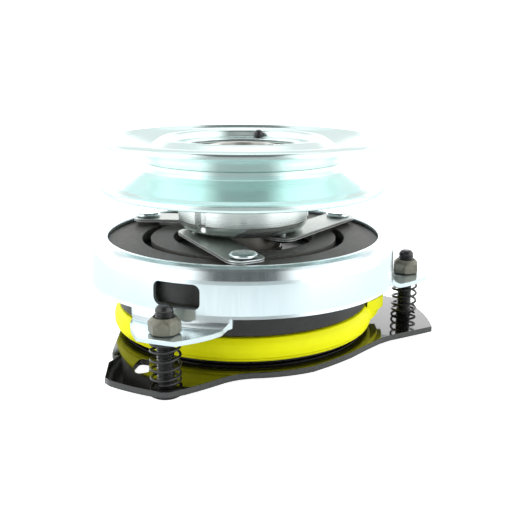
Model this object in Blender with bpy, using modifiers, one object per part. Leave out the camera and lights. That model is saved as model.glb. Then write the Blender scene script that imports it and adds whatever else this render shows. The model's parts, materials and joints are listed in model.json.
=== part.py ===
"""Electromagnetic clutch with a V-belt pulley, an armature on leaf springs, an
adjustable brake shell on three sprung studs and a stationary field coil.

The shaft's axis is Z.  Heights are counted from the underside of the mounting
plate and, like all sizes, are in millimetres; angles are in degrees from +X.
The frame's origin lies on the shaft's axis, Z_ORIGIN above that underside.
"""
import math

import bmesh
import bpy
from mathutils import Matrix, Vector

MM = 0.001
MERGE_DISTANCE = 0.000005  # metres

# ---------------------------------------------------------------- dimensions
Z_ORIGIN = 37.8            # lower face of the rotor disc

# segments round a turned piece or a hole
SEGS_LARGE, SEGS_MEDIUM, SEGS_SMALL = 32, 20, 12
SEGS_RIVET, SEGS_TINY = 10, 8
SEGS_BRAKE, SEGS_CLEARANCE = 36, 24

# shaft and hub
BORE_R = 12.7              # 1 inch crankshaft
KEY_W, KEY_TOP = 6.35, 15.9
HUB_R, HUB_COLLAR_R, HUB_NECK_R = 17.45, 20.2, 19.8
HUB_Z0, HUB_Z1 = 1.0, 98.0
SNAP_GROOVE_Z0, SNAP_GROOVE_Z1, SNAP_GAP = 95.95, 97.25, 0.2

# ball bearings, 35 x 62 x 14
BRG_IN, BRG_IN_OUT = 17.75, 22.0
BRG_OUT_IN, BRG_OUT = 26.9, 31.0
BRG_W = 14.0
FIELD_BRG_Z, LOW_BRG_Z, UP_BRG_Z = 8.3, 59.5, 81.7
CAGE_R0, CAGE_R1, CAGE_HALF_W = 23.0, 25.9, 3.2
SEAT_R = 31.3
SEAL_R0, SEAL_R1, SEAL_T = 22.4, 26.55, 0.9

# mounting plate
PLATE_T = 3.0
PLATE_HOLE_R = 23.0
PLATE_EAR_R = 101.5
SMALL_HOLE_R, SMALL_HOLE_CIRCLE, SMALL_HOLE_ANGLES = 3.4, 47.0, (300.0, 60.0, 180.0)

# brake shell
LIP_R, LIP_Z = 70.8, 52.8
CREASE_R, CREASE_Z = 78.4, 44.8
SKIRT_R, SKIRT_Z = 79.75, 30.2
EAR_Z0, EAR_Z1, EAR_R = 24.0, 26.2, 100.8
WINDOW_LEFT, WINDOW_RIGHT, WINDOW_Z0, WINDOW_Z1 = -12.1, 10.9, 33.7, 45.2
WINDOW_CORNER_R, WINDOW_CUT_R, WINDOW_CUT_HALF = 3.0, 78.0, 6.0

# studs, springs, nuts
STUD_CIRCLE_R, STUD_ANGLES = 91.2, (248.0, 8.0, 128.0)
STUD_R, STUD_TOP = 4.0, 38.95
HEX_AF = 13.0              # across flats, stud heads and nuts
HEX_CORNER_R = HEX_AF / math.sqrt(3)
HEAD_Z0, HEAD_Z1 = -2.7, -0.3
SPRING_R, SPRING_WIRE_R = 6.5, 0.65
SPRING_GAP = 0.4           # to the plate below and the ear above
SPRING_Z0, SPRING_Z1 = PLATE_T + SPRING_GAP, EAR_Z0 - SPRING_GAP
SPRING_TURNS, SPRING_CLOSED_TURNS, SPRING_STEPS_PER_TURN = 5.5, 0.9, 10
NUT_Z0, NUT_CONE_Z, NUT_TOP = EAR_Z1 + 0.3, 31.0, 33.8
NUT_TURNS = (15.8, 39.8, 0.0)

# rotor and armature
ROTOR_Z0, ROTOR_Z1, ROTOR_R = Z_ORIGIN, Z_ORIGIN + 6.0, 74.6
ROTOR_BORE_R = 20.6
RIM_R0, RIM_R1, RIM_Z0 = 61.9, 66.3, 17.3
ROTOR_LIP_R, ROTOR_LIP_Z = 72.0, 33.4
ROTOR_SLOT_R0, ROTOR_SLOT_R1 = 41.6, 45.6
LINING_R0, LINING_R1, LINING_Z0 = 54.5, 60.5, 42.1
LINING_GAP = 0.3           # between the lining and its groove
AIR_GAP = 0.5
ARM_Z0, ARM_R, ARM_HOLE_R = ROTOR_Z1 + AIR_GAP, ROTOR_R, 36.8
ARM_Z1 = ARM_Z0 + 6.0
ARM_CHAMFER = 0.5
ARM_SLOT_R0, ARM_SLOT_R1 = 48.7, 53.1

# field
FIELD_R, FIELD_TOP = 61.2, 36.9
CHANNEL_R0, CHANNEL_R1, CHANNEL_Z = 37.2, 58.0, 8.6
BOBBIN_R0, BOBBIN_R1, BOBBIN_WALL = 38.3, 57.5, 1.1
BOBBIN_Z0, BOBBIN_Z1, BOBBIN_FLOOR_Z = 9.0, 32.0, 10.6
COVER_R0, COVER_Z0, COVER_Z1 = 61.6, 5.3, 16.4
COVER_R_TOP, COVER_R_BULGE = 66.3, 69.0

# terminal housing on the cover ring
BOSS_END_Y, BOSS_Z0, BOSS_Z1 = 8.0, 11.5, 18.5
SOCKET_X0, SOCKET_X1, SOCKET_Y0, SOCKET_Z0, SOCKET_Z1 = 68.6, 73.6, -1.0, 10.2, 16.9
INSERT_GAP = 0.4
PIN_X0, PIN_X1, PIN_HALF_T, PIN_GAP = 69.9, 72.3, 0.4, 0.3
PIN_HEIGHTS = (("lower", 12.0), ("upper", 15.1))

# leaf springs
LEAF_OUT_R, LEAF_OUT_ANGLES = 62.0, (270.0, 30.0, 150.0)
LEAF_IN_R, LEAF_TWIST = 26.0, -71.0
LEAF_HALF_W, LEAF_OUT_END, LEAF_IN_END = 9.0, 7.2, 8.0
LEAF_CORNER_RADII = (5.0, 7.0, 7.0, 6.8)
LEAF_T = 0.7
LEAF_HEIGHTS = (("lower", 52.6), ("upper", 53.6))
LEAF_OUT_HOLE_R, LEAF_IN_HOLE_R = 3.5, 3.0
LEAF_HUB_CLEARANCE_R = 21.4

# pulley
PULLEY_TOP_R, PULLEY_LOW_R = 72.2, 73.0
HOUSING_R = 34.2
TOP_RIVET_CIRCLE_R, TOP_RIVET_ANGLES, TOP_RIVET_HOLE_R = 35.4, (76.0,), 1.9

# ------------------------------------------------------------ start clean
for old in list(bpy.data.objects):
    bpy.data.objects.remove(old, do_unlink=True)

PARTS = bpy.data.collections.new("electromagnetic_clutch")
CUTS = bpy.data.collections.new("cutters")
bpy.context.scene.collection.children.link(PARTS)
bpy.context.scene.collection.children.link(CUTS)


# ------------------------------------------------------------ materials
def material(name, color, metallic, roughness):
    mat = bpy.data.materials.new(name)
    mat.use_nodes = True
    shader = mat.node_tree.nodes["Principled BSDF"]
    shader.inputs["Base Color"].default_value = (*color, 1.0)
    shader.inputs["Metallic"].default_value = metallic
    shader.inputs["Roughness"].default_value = roughness
    mat.diffuse_color = (*color, 1.0)
    return mat


ZINC = material("zinc_plate", color=(0.78, 0.86, 0.86), metallic=1.0, roughness=0.28)
BARE = material("bare_steel", color=(0.62, 0.62, 0.62), metallic=1.0, roughness=0.38)
SPRING_STEEL = material("spring_steel", color=(0.42, 0.45, 0.43), metallic=1.0, roughness=0.42)
ARM_STEEL = material("armature_steel", color=(0.12, 0.11, 0.10), metallic=0.7, roughness=0.55)
ROTOR_STEEL = material("rotor_steel", color=(0.09, 0.09, 0.09), metallic=0.7, roughness=0.5)
BLACK = material("black_paint", color=(0.012, 0.012, 0.012), metallic=0.0, roughness=0.18)
YELLOW = material("yellow_cover", color=(0.95, 0.86, 0.02), metallic=0.0, roughness=0.42)
COPPER = material("copper_wire", color=(0.75, 0.32, 0.14), metallic=1.0, roughness=0.35)
RESIN = material("potting_resin", color=(0.05, 0.05, 0.05), metallic=0.0, roughness=0.5)
NYLON = material("bobbin_nylon", color=(0.75, 0.72, 0.62), metallic=0.0, roughness=0.5)
LINING = material("friction_lining", color=(0.16, 0.13, 0.10), metallic=0.0, roughness=0.85)
RACE = material("bearing_steel", color=(0.70, 0.70, 0.70), metallic=1.0, roughness=0.2)
SEAL = material("seal_rubber", color=(0.02, 0.02, 0.02), metallic=0.0, roughness=0.6)
BRASS = material("brass", color=(0.78, 0.60, 0.25), metallic=1.0, roughness=0.3)
NUT = material("phosphate_nut", color=(0.24, 0.23, 0.19), metallic=0.8, roughness=0.5)
BLACK_STEEL = material("black_oxide", color=(0.03, 0.03, 0.03), metallic=0.6, roughness=0.4)


# ------------------------------------------------------------ plane geometry
def polar(radius, degrees):
    angle = math.radians(degrees)
    return radius * math.cos(angle), radius * math.sin(angle)


def arc(radius, start, end, steps):
    return [polar(radius, start + (end - start) * k / steps) for k in range(steps + 1)]


def circle(radius, at=(0.0, 0.0), segments=SEGS_SMALL):
    angles = [2 * math.pi * k / segments for k in range(segments)]
    return [(at[0] + radius * math.cos(a), at[1] + radius * math.sin(a)) for a in angles]


def ear_point(angle, across, outward):
    """A point given across (anticlockwise) and along an ear that lies at an angle."""
    cos, sin = polar(1.0, angle)
    return outward * cos - across * sin, outward * sin + across * cos


def round_corners(points, radii, steps):
    """A polygon with its corners rounded, one radius each."""
    rounded = []
    for i, (point, radius) in enumerate(zip(points, radii)):
        corner = Vector(point)
        back = (Vector(points[i - 1]) - corner).normalized()
        ahead = (Vector(points[(i + 1) % len(points)]) - corner).normalized()
        half = math.acos(back.dot(ahead)) / 2
        tangent = radius / math.tan(half)
        centre = corner + (back + ahead).normalized() * (radius / math.sin(half))
        start = corner + back * tangent - centre
        end = corner + ahead * tangent - centre
        first = math.atan2(start.y, start.x)
        last = math.atan2(end.y, end.x)
        sweep = (last - first + math.pi) % (2 * math.pi) - math.pi
        for k in range(steps + 1):
            angle = first + sweep * k / steps
            rounded.append((centre.x + radius * math.cos(angle),
                            centre.y + radius * math.sin(angle)))
    return rounded


# ------------------------------------------------------------ solids
def world_z(height):
    """Height over the plate's underside (mm) to world Z (m)."""
    return (height - Z_ORIGIN) * MM


def new_object(name, mesh, mat=None, location=(0, 0, 0)):
    """A part, or, where no material is given, a hidden cutter."""
    ob = bpy.data.objects.new(name, mesh)
    ob.location = location
    if mat:
        PARTS.objects.link(ob)
        mesh.materials.clear()
        mesh.materials.append(mat)
    else:
        CUTS.objects.link(ob)
        ob.hide_render = True
        ob.display_type = "WIRE"
    return ob


def evaluated_mesh(ob):
    bpy.context.view_layer.update()
    depsgraph = bpy.context.evaluated_depsgraph_get()
    return bpy.data.meshes.new_from_object(ob.evaluated_get(depsgraph))


def object_from_curve(name, curve, mat, location):
    """The curve's solid as a mesh object, with its seams merged."""
    temporary = bpy.data.objects.new(name, curve)
    CUTS.objects.link(temporary)
    mesh = evaluated_mesh(temporary)
    bpy.data.objects.remove(temporary, do_unlink=True)
    bm = bmesh.new()
    bm.from_mesh(mesh)
    bmesh.ops.remove_doubles(bm, verts=bm.verts, dist=MERGE_DISTANCE)
    bmesh.ops.recalc_face_normals(bm, faces=bm.faces)
    bm.to_mesh(mesh)
    bm.free()
    return new_object(name, mesh, mat, location)


def lathe(name, profile, segments, mat=None, at=(0.0, 0.0), solid=False):
    """A turned piece: profile of (radius, height), swept round Z.

    solid: the profile is open and ends on the axis at both ends; otherwise it
    is a closed loop.
    """
    points = list(profile)
    count = len(points)
    edges = [(i, i + 1) for i in range(count - 1)]
    if not solid:
        edges.append((count - 1, 0))
        doubled_area = sum(r0 * z1 - r1 * z0
                           for (r0, z0), (r1, z1) in zip(points, points[1:] + points[:1]))
        if doubled_area > 0:    # run clockwise, so the faces look outwards
            points.reverse()
    mesh = bpy.data.meshes.new(name)
    mesh.from_pydata([(r * MM, 0.0, world_z(z)) for r, z in points], edges, [])
    ob = new_object(name, mesh, mat, (at[0] * MM, at[1] * MM, 0.0))
    screw = ob.modifiers.new("turn", "SCREW")
    screw.axis = "Z"
    screw.angle = 2 * math.pi
    screw.screw_offset = 0.0
    screw.steps = segments
    screw.render_steps = segments
    screw.use_merge_vertices = True
    screw.merge_threshold = MERGE_DISTANCE
    screw.use_smooth_shade = True
    return ob


def ring(name, r0, r1, z0, z1, segments, mat):
    """A turned ring of rectangular section."""
    return lathe(name, [(r0, z0), (r1, z0), (r1, z1), (r0, z1)], segments, mat)


def outline(name, loops, z0, z1, mat=None):
    """A flat piece from z0 to z1: the first loop is outside, the rest are holes."""
    curve = bpy.data.curves.new(name, "CURVE")
    curve.dimensions = "2D"
    curve.fill_mode = "BOTH"
    curve.extrude = (z1 - z0) / 2 * MM
    for loop in loops:
        spline = curve.splines.new("POLY")
        spline.points.add(len(loop) - 1)
        for point, (x, y) in zip(spline.points, loop):
            point.co = (x * MM, y * MM, 0.0, 1.0)
        spline.use_cyclic_u = True
    return object_from_curve(name, curve, mat, (0.0, 0.0, world_z((z0 + z1) / 2)))


def cylinder(name, radius, z0, z1, at=(0.0, 0.0), segments=SEGS_SMALL, mat=None, turn=0.0):
    mesh = bpy.data.meshes.new(name)
    bm = bmesh.new()
    bmesh.ops.create_cone(
        bm, cap_ends=True, cap_tris=False, segments=segments,
        radius1=radius * MM, radius2=radius * MM, depth=(z1 - z0) * MM,
        matrix=Matrix.Translation((0.0, 0.0, world_z((z0 + z1) / 2)))
        @ Matrix.Rotation(math.radians(turn), 4, "Z"),
    )
    bm.to_mesh(mesh)
    bm.free()
    return new_object(name, mesh, mat, (at[0] * MM, at[1] * MM, 0.0))


def block(name, x0, x1, y0, y1, z0, z1, mat=None):
    mesh = bpy.data.meshes.new(name)
    bm = bmesh.new()
    centre = ((x0 + x1) / 2 * MM, (y0 + y1) / 2 * MM, world_z((z0 + z1) / 2))
    size = ((x1 - x0) * MM, (y1 - y0) * MM, (z1 - z0) * MM, 1.0)
    bmesh.ops.create_cube(bm, size=1.0,
                          matrix=Matrix.Translation(centre) @ Matrix.Diagonal(size))
    bm.to_mesh(mesh)
    bm.free()
    return new_object(name, mesh, mat)


# ------------------------------------------------------------ cutting
def boolean(ob, other, operation="DIFFERENCE"):
    modifier = ob.modifiers.new("bool_" + other.name, "BOOLEAN")
    modifier.operation = operation
    modifier.object = other
    modifier.solver = "EXACT"


def group_cutter(name, pieces):
    """Joins separate closed cutters into one cutter object."""
    bm = bmesh.new()
    for piece in pieces:
        mesh = evaluated_mesh(piece)
        mesh.transform(piece.matrix_world)
        bm.from_mesh(mesh)
        bpy.data.meshes.remove(mesh)
        bpy.data.objects.remove(piece, do_unlink=True)
    bmesh.ops.remove_doubles(bm, verts=bm.verts, dist=MERGE_DISTANCE)
    joined = bpy.data.meshes.new(name)
    bm.to_mesh(joined)
    bm.free()
    return new_object(name, joined)


def disc_cutters(name, radius, z0, z1, centres, segments):
    """Equal upright cylinders as one cutter."""
    return group_cutter(name, [cylinder("disc", radius, z0, z1, centre, segments)
                               for centre in centres])


def slot_cutters(name, r0, r1, starts, sweep, steps, z0, z1):
    """Curved slots about the axis, one from each start angle, as one cutter."""
    return group_cutter(name, [
        outline("slot", [arc(r1, start, start + sweep, steps)
                         + arc(r0, start + sweep, start, steps)], z0, z1)
        for start in starts])


# ------------------------------------------------------------ fastener places
STUDS = [polar(STUD_CIRCLE_R, a) for a in STUD_ANGLES]
OUTER_RIVETS = [polar(LEAF_OUT_R, a) for a in LEAF_OUT_ANGLES]
INNER_RIVETS = [polar(LEAF_IN_R, a + LEAF_TWIST) for a in LEAF_OUT_ANGLES]
TOP_RIVETS = [polar(TOP_RIVET_CIRCLE_R, a) for a in TOP_RIVET_ANGLES]


# ------------------------------------------------------------ mounting plate
def build_mounting_plate():
    # (x, y), anticlockwise; each arc on PLATE_EAR_R is the end of a stud's ear
    edge = (
        [(-62.2, -79.0)]
        + arc(PLATE_EAR_R, 234.0, 249.5, 4)
        + [(-32.0, -95.0), (-25.4, -91.9), (-14.9, -84.6), (-1.6, -75.6)]
        + arc(74.6, 273.0, 296.0, 4)
        + [(41.0, -60.6), (52.5, -50.2), (69.9, -31.0), (81.6, -23.2)]
        + arc(PLATE_EAR_R, 352.7, 380.5, 5)
        + [(83.0, 44.0), (62.0, 51.5)]
        + arc(75.0, 46.0, 84.0, 5)
        + [(-8.0, 79.5), (-30.0, 93.0)]
        + arc(PLATE_EAR_R, 113.0, 135.0, 4)
        + [(-77.0, 60.0), (-70.5, 38.0), (-66.0, 14.0), (-64.6, -18.1), (-64.1, -44.0),
           (-63.7, -49.3), (-60.2, -53.2), (-63.5, -60.5)]
    )
    five_sided_hole = round_corners(
        [(-51.2, -66.0), (-49.2, -57.0), (-44.6, -58.5), (-43.2, -72.8), (-48.6, -75.0)],
        (2.2, 1.8, 1.8, 1.8, 2.2), 2)
    holes = [circle(PLATE_HOLE_R, segments=SEGS_MEDIUM)]
    holes += [circle(STUD_R + 0.5, stud) for stud in STUDS]
    holes.append(five_sided_hole)
    holes += [circle(SMALL_HOLE_R, polar(SMALL_HOLE_CIRCLE, a), SEGS_RIVET)
              for a in SMALL_HOLE_ANGLES]
    outline("mounting_plate", [edge] + holes, 0.0, PLATE_T, BLACK)


# ------------------------------------------------------------ bearings
def build_bearing(name, z):
    """Two races and a plain ring for the balls and cage; z is the lower face."""
    middle = z + BRG_W / 2
    ring(name + "_outer_race", BRG_OUT_IN, BRG_OUT, z, z + BRG_W, SEGS_MEDIUM, RACE)
    ring(name + "_inner_race", BRG_IN, BRG_IN_OUT, z, z + BRG_W, SEGS_MEDIUM, RACE)
    ring(name + "_ball_cage", CAGE_R0, CAGE_R1, middle - CAGE_HALF_W, middle + CAGE_HALF_W,
         SEGS_MEDIUM, BRASS)


def build_bearings():
    build_bearing("field_bearing", FIELD_BRG_Z)
    build_bearing("pulley_bearing_lower", LOW_BRG_Z)
    build_bearing("pulley_bearing_upper", UP_BRG_Z)
    ring("field_snap_ring", 28.2, 30.95, 22.7, 24.0, SEGS_MEDIUM, BLACK_STEEL)
    ring("bearing_spacer", BRG_IN, 20.6, 73.8, 81.4, SEGS_MEDIUM, BARE)
    for name, z in (("bearing_seal_top", 94.6), ("bearing_seal_bottom", 59.8)):
        ring(name, SEAL_R0, SEAL_R1, z, z + SEAL_T, SEGS_MEDIUM, SEAL)


# ------------------------------------------------------------ field
def build_field():
    """The shell with its ring-shaped channel, and the coil that fills it."""
    lathe("field_shell", [
        (28.4, 3.3), (65.0, 3.3), (65.0, 5.0), (FIELD_R, 5.0), (FIELD_R, FIELD_TOP),
        (CHANNEL_R1, FIELD_TOP), (CHANNEL_R1, CHANNEL_Z), (CHANNEL_R0, CHANNEL_Z),
        (CHANNEL_R0, FIELD_TOP), (SEAT_R, FIELD_TOP), (SEAT_R, 8.0), (28.4, 8.0),
    ], SEGS_LARGE, BLACK_STEEL)
    wall_r0, wall_r1 = BOBBIN_R0 + BOBBIN_WALL, BOBBIN_R1 - BOBBIN_WALL
    lathe("coil_bobbin", [
        (BOBBIN_R0, BOBBIN_Z0), (BOBBIN_R1, BOBBIN_Z0), (BOBBIN_R1, BOBBIN_Z1),
        (wall_r1, BOBBIN_Z1), (wall_r1, BOBBIN_FLOOR_Z), (wall_r0, BOBBIN_FLOOR_Z),
        (wall_r0, BOBBIN_Z1), (BOBBIN_R0, BOBBIN_Z1),
    ], SEGS_MEDIUM, NYLON)
    ring("coil_winding", wall_r0 + 0.4, wall_r1 - 0.4, BOBBIN_FLOOR_Z + 0.4, BOBBIN_Z1 - 0.5,
         SEGS_MEDIUM, COPPER)
    ring("coil_potting", BOBBIN_R0, BOBBIN_R1, BOBBIN_Z1 + 0.4, 35.8, SEGS_MEDIUM, RESIN)


def build_field_cover():
    """The yellow ring with its terminal housing, whose socket opens towards +Y."""
    cover = lathe("field_cover_ring", [
        (COVER_R0, COVER_Z0), (66.9, COVER_Z0), (68.7, 7.6), (COVER_R_BULGE, 10.6),
        (68.0, 14.0), (COVER_R_TOP, COVER_Z1), (COVER_R0, COVER_Z1),
    ], SEGS_LARGE, YELLOW)
    boss_edge = arc(67.2, 6.7, -16.0, 5) + [
        (70.4, -12.6), (75.0, -4.8), (76.4, 1.5), (77.0, BOSS_END_Y - 1.0), (76.2, BOSS_END_Y)]
    foot_edge = [
        (63.5, -24.0), (68.4, -14.5), (71.9, -6.5), (73.3, -2.0), (73.6, BOSS_END_Y - 0.5),
        (64.5, BOSS_END_Y - 0.5)]
    boolean(cover, outline("cut_cover_boss", [boss_edge], BOSS_Z0, BOSS_Z1), "UNION")
    boolean(cover, outline("cut_cover_boss_foot", [foot_edge], 8.3, 12.0), "UNION")
    boolean(cover, block("cut_socket", SOCKET_X0, SOCKET_X1, SOCKET_Y0, BOSS_END_Y + 3.0,
                         SOCKET_Z0, SOCKET_Z1))


def build_connector():
    insert = block("connector_insert", SOCKET_X0 + INSERT_GAP, SOCKET_X1 - INSERT_GAP,
                   SOCKET_Y0 + INSERT_GAP, 2.4,
                   SOCKET_Z0 + INSERT_GAP, SOCKET_Z1 - INSERT_GAP, NYLON)
    hole_half = PIN_HALF_T + PIN_GAP
    for i, (place, z) in enumerate(PIN_HEIGHTS):
        boolean(insert, block("cut_pin_%d" % i, PIN_X0 - PIN_GAP, PIN_X1 + PIN_GAP, 0.5, 4.0,
                              z - hole_half, z + hole_half))
        block("terminal_pin_" + place, PIN_X0, PIN_X1, 0.9, 7.4,
              z - PIN_HALF_T, z + PIN_HALF_T, BRASS)


# ------------------------------------------------------------ studs, springs, nuts
def build_stud(n, at, angle):
    shank_z0 = HEAD_Z1 - 1.0    # sunk into the head
    stud = lathe("brake_stud_%d" % n, [
        (0.0, STUD_TOP), (2.4, STUD_TOP), (3.4, STUD_TOP - 1.0), (STUD_R, STUD_TOP - 2.4),
        (STUD_R, shank_z0), (0.0, shank_z0),
    ], SEGS_SMALL, BLACK_STEEL, at=at, solid=True)
    head = cylinder("cut_stud_head_%d" % n, HEX_CORNER_R, HEAD_Z0, HEAD_Z1, at, 6, turn=angle)
    boolean(stud, head, "UNION")


def coil_height(turn):
    """Height of the wire's middle after so many turns; both ends are wound closer."""
    z0, z1 = SPRING_Z0 + SPRING_WIRE_R, SPRING_Z1 - SPRING_WIRE_R
    end_pitch = 2 * SPRING_WIRE_R + 0.35
    end_rise = end_pitch * SPRING_CLOSED_TURNS
    if turn < SPRING_CLOSED_TURNS:
        return z0 + end_pitch * turn
    if turn > SPRING_TURNS - SPRING_CLOSED_TURNS:
        return z1 - end_pitch * (SPRING_TURNS - turn)
    free_turns = SPRING_TURNS - 2 * SPRING_CLOSED_TURNS
    return z0 + end_rise + (z1 - z0 - 2 * end_rise) * (turn - SPRING_CLOSED_TURNS) / free_turns


def build_spring(n, at, angle):
    name = "brake_spring_%d" % n
    curve = bpy.data.curves.new(name, "CURVE")
    curve.dimensions = "3D"
    curve.bevel_depth = SPRING_WIRE_R * MM
    curve.bevel_resolution = 1
    curve.use_fill_caps = True
    steps = int(SPRING_TURNS * SPRING_STEPS_PER_TURN)
    spline = curve.splines.new("POLY")
    spline.points.add(steps)
    for k, point in enumerate(spline.points):
        turn = SPRING_TURNS * k / steps
        x, y = polar(SPRING_R * MM, 360.0 * turn + angle)
        point.co = (x, y, world_z(coil_height(turn)), 1.0)
    object_from_curve(name, curve, BLACK_STEEL, (at[0] * MM, at[1] * MM, 0.0))


def build_nut(n, at, angle):
    nut = cylinder("lock_nut_%d" % n, HEX_CORNER_R, NUT_Z0, NUT_TOP, at, 6, NUT, turn=angle)
    cone = lathe("cut_nut_cone_%d" % n, [
        (0.0, 36.0), (3.05, 36.0), (7.6, NUT_CONE_Z), (7.6, 26.9), (7.1, 26.3), (0.0, 26.3),
    ], SEGS_MEDIUM, at=at, solid=True)
    boolean(nut, cone, "INTERSECT")
    boolean(nut, cylinder("cut_nut_bore_%d" % n, STUD_R + 0.45, 20.0, 40.0, at))


def build_brake_fasteners():
    for n, (at, angle, nut_turn) in enumerate(zip(STUDS, STUD_ANGLES, NUT_TURNS), 1):
        build_stud(n, at, angle)
        build_spring(n, at, angle)
        build_nut(n, at, angle + nut_turn)


# ------------------------------------------------------------ brake shell
# one side of an ear: (distance from the ear's middle line, distance from the axis)
EAR_SIDE = (
    (25.2, 60.0), (25.2, 75.6), (23.4, 77.2), (22.3, 81.0),
    (19.8, 86.4), (16.6, 91.6), (9.6, 99.6), (8.8, 106.0),
)


def ear_gap(angle):
    """Cuts the skirt and flange away between the ear at an angle and the next."""
    following = angle + 120.0
    edge = [ear_point(angle, across, outward) for across, outward in EAR_SIDE]
    edge += [ear_point(angle, 22.0, 118.0), polar(130.0, angle + 60.0),
             ear_point(following, -22.0, 118.0)]
    edge += [ear_point(following, -across, outward) for across, outward in reversed(EAR_SIDE)]
    return outline("gap", [edge], 20.0, SKIRT_Z)


def brake_window(angle):
    """A rounded window cutter, stood upright in the shell's wall over an ear."""
    bottom, top = WINDOW_Z0 - Z_ORIGIN, WINDOW_Z1 - Z_ORIGIN
    edge = round_corners([(WINDOW_LEFT, bottom), (WINDOW_RIGHT, bottom),
                          (WINDOW_RIGHT, top), (WINDOW_LEFT, top)], [WINDOW_CORNER_R] * 4, 3)
    window = outline("window", [edge], Z_ORIGIN - WINDOW_CUT_HALF, Z_ORIGIN + WINDOW_CUT_HALF)
    window.matrix_world = (
        Matrix.Rotation(math.radians(angle), 4, "Z")
        @ Matrix.Translation((WINDOW_CUT_R * MM, 0, 0))
        @ Matrix.Rotation(math.radians(90), 4, "Z")
        @ Matrix.Rotation(math.radians(90), 4, "X")
    )
    return window


def build_brake_shell():
    brake = lathe("brake_shell", [
        (LIP_R, LIP_Z), (73.9, LIP_Z), (76.4, 52.0), (77.9, 49.4), (CREASE_R, CREASE_Z),
        (SKIRT_R, SKIRT_Z), (80.4, 27.8), (83.8, EAR_Z1), (EAR_R, EAR_Z1),
        (EAR_R, EAR_Z0), (82.9, EAR_Z0), (78.6, 26.4), (77.6, SKIRT_Z),
        (76.1, CREASE_Z), (75.9, 48.6), (75.1, 50.65), (LIP_R, 50.65),
    ], SEGS_BRAKE, ZINC)
    boolean(brake, group_cutter("cut_ear_gaps", [ear_gap(a) for a in STUD_ANGLES]))
    boolean(brake, group_cutter("cut_windows", [brake_window(a) for a in STUD_ANGLES]))
    boolean(brake, disc_cutters("cut_ear_holes", STUD_R + 0.6, 20.0, 30.0, STUDS, SEGS_SMALL))


# ------------------------------------------------------------ rotor and hub
def build_rotor():
    groove_r0, groove_r1, groove_z = LINING_R0 - LINING_GAP, LINING_R1 + LINING_GAP, 41.8
    rotor = lathe("rotor", [
        (ROTOR_BORE_R, ROTOR_Z1), (groove_r0, ROTOR_Z1), (groove_r0, groove_z),
        (groove_r1, groove_z), (groove_r1, ROTOR_Z1), (ROTOR_R - 0.5, ROTOR_Z1),
        (ROTOR_R, ROTOR_Z1 - 0.5), (ROTOR_R, ROTOR_LIP_Z), (ROTOR_LIP_R, ROTOR_LIP_Z),
        (ROTOR_LIP_R, ROTOR_Z0), (RIM_R1, ROTOR_Z0 - 0.4), (RIM_R1, RIM_Z0),
        (RIM_R0, RIM_Z0), (RIM_R0, ROTOR_Z0), (ROTOR_BORE_R, ROTOR_Z0),
    ], SEGS_LARGE, ROTOR_STEEL)
    boolean(rotor, slot_cutters("cut_rotor_slots", ROTOR_SLOT_R0, ROTOR_SLOT_R1,
                                (30.0, 150.0, 270.0), 96.0, 6, 30.0, 50.0))
    ring("friction_lining", LINING_R0, LINING_R1, LINING_Z0, ROTOR_Z1, SEGS_LARGE, LINING)


def build_hub():
    groove_r = 16.4
    hub = lathe("rotor_hub", [
        (BORE_R, HUB_Z0), (HUB_R, HUB_Z0), (HUB_R, 22.6), (HUB_COLLAR_R, 22.6),
        (HUB_COLLAR_R, 45.5), (HUB_NECK_R, 45.5), (HUB_NECK_R, 59.2), (HUB_R, 59.2),
        (HUB_R, SNAP_GROOVE_Z0), (groove_r, SNAP_GROOVE_Z0), (groove_r, SNAP_GROOVE_Z1),
        (HUB_R, SNAP_GROOVE_Z1), (HUB_R, HUB_Z1), (BORE_R, HUB_Z1),
    ], SEGS_MEDIUM, BARE)
    boolean(hub, block("cut_keyway", 8.0, KEY_TOP, -KEY_W / 2, KEY_W / 2,
                       HUB_Z0 - 3, HUB_Z1 + 3))
    ring("hub_snap_ring", 16.75, 20.6, SNAP_GROOVE_Z0 + SNAP_GAP, SNAP_GROOVE_Z1 - SNAP_GAP,
         SEGS_MEDIUM, BLACK_STEEL)


# ------------------------------------------------------------ armature
def build_armature():
    armature = lathe("armature", [
        (ARM_HOLE_R, ARM_Z0), (ARM_R, ARM_Z0), (ARM_R, ARM_Z1 - ARM_CHAMFER),
        (ARM_R - ARM_CHAMFER, ARM_Z1), (ARM_HOLE_R + ARM_CHAMFER, ARM_Z1),
        (ARM_HOLE_R, ARM_Z1 - ARM_CHAMFER),
    ], SEGS_LARGE, ARM_STEEL)
    boolean(armature, disc_cutters("cut_arm_bosses", 6.2, 48.0, 52.3, OUTER_RIVETS, SEGS_SMALL),
            "UNION")
    boolean(armature, slot_cutters("cut_arm_slots", ARM_SLOT_R0, ARM_SLOT_R1,
                                   [a + 0.5 for a in LEAF_OUT_ANGLES], 108.0, 9, 40.0, 51.5))
    boolean(armature, disc_cutters("cut_arm_holes", LEAF_OUT_HOLE_R, 40.0, 56.0,
                                   OUTER_RIVETS, SEGS_RIVET))
    for n, at in enumerate(OUTER_RIVETS, 1):
        lathe("armature_rivet_%d" % n, [
            (0.0, 56.7), (5.6, 56.7), (6.5, 55.9), (6.5, 54.65), (3.0, 54.65), (3.0, 44.7),
            (0.0, 44.7),
        ], SEGS_SMALL, ZINC, at=at, solid=True)


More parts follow.
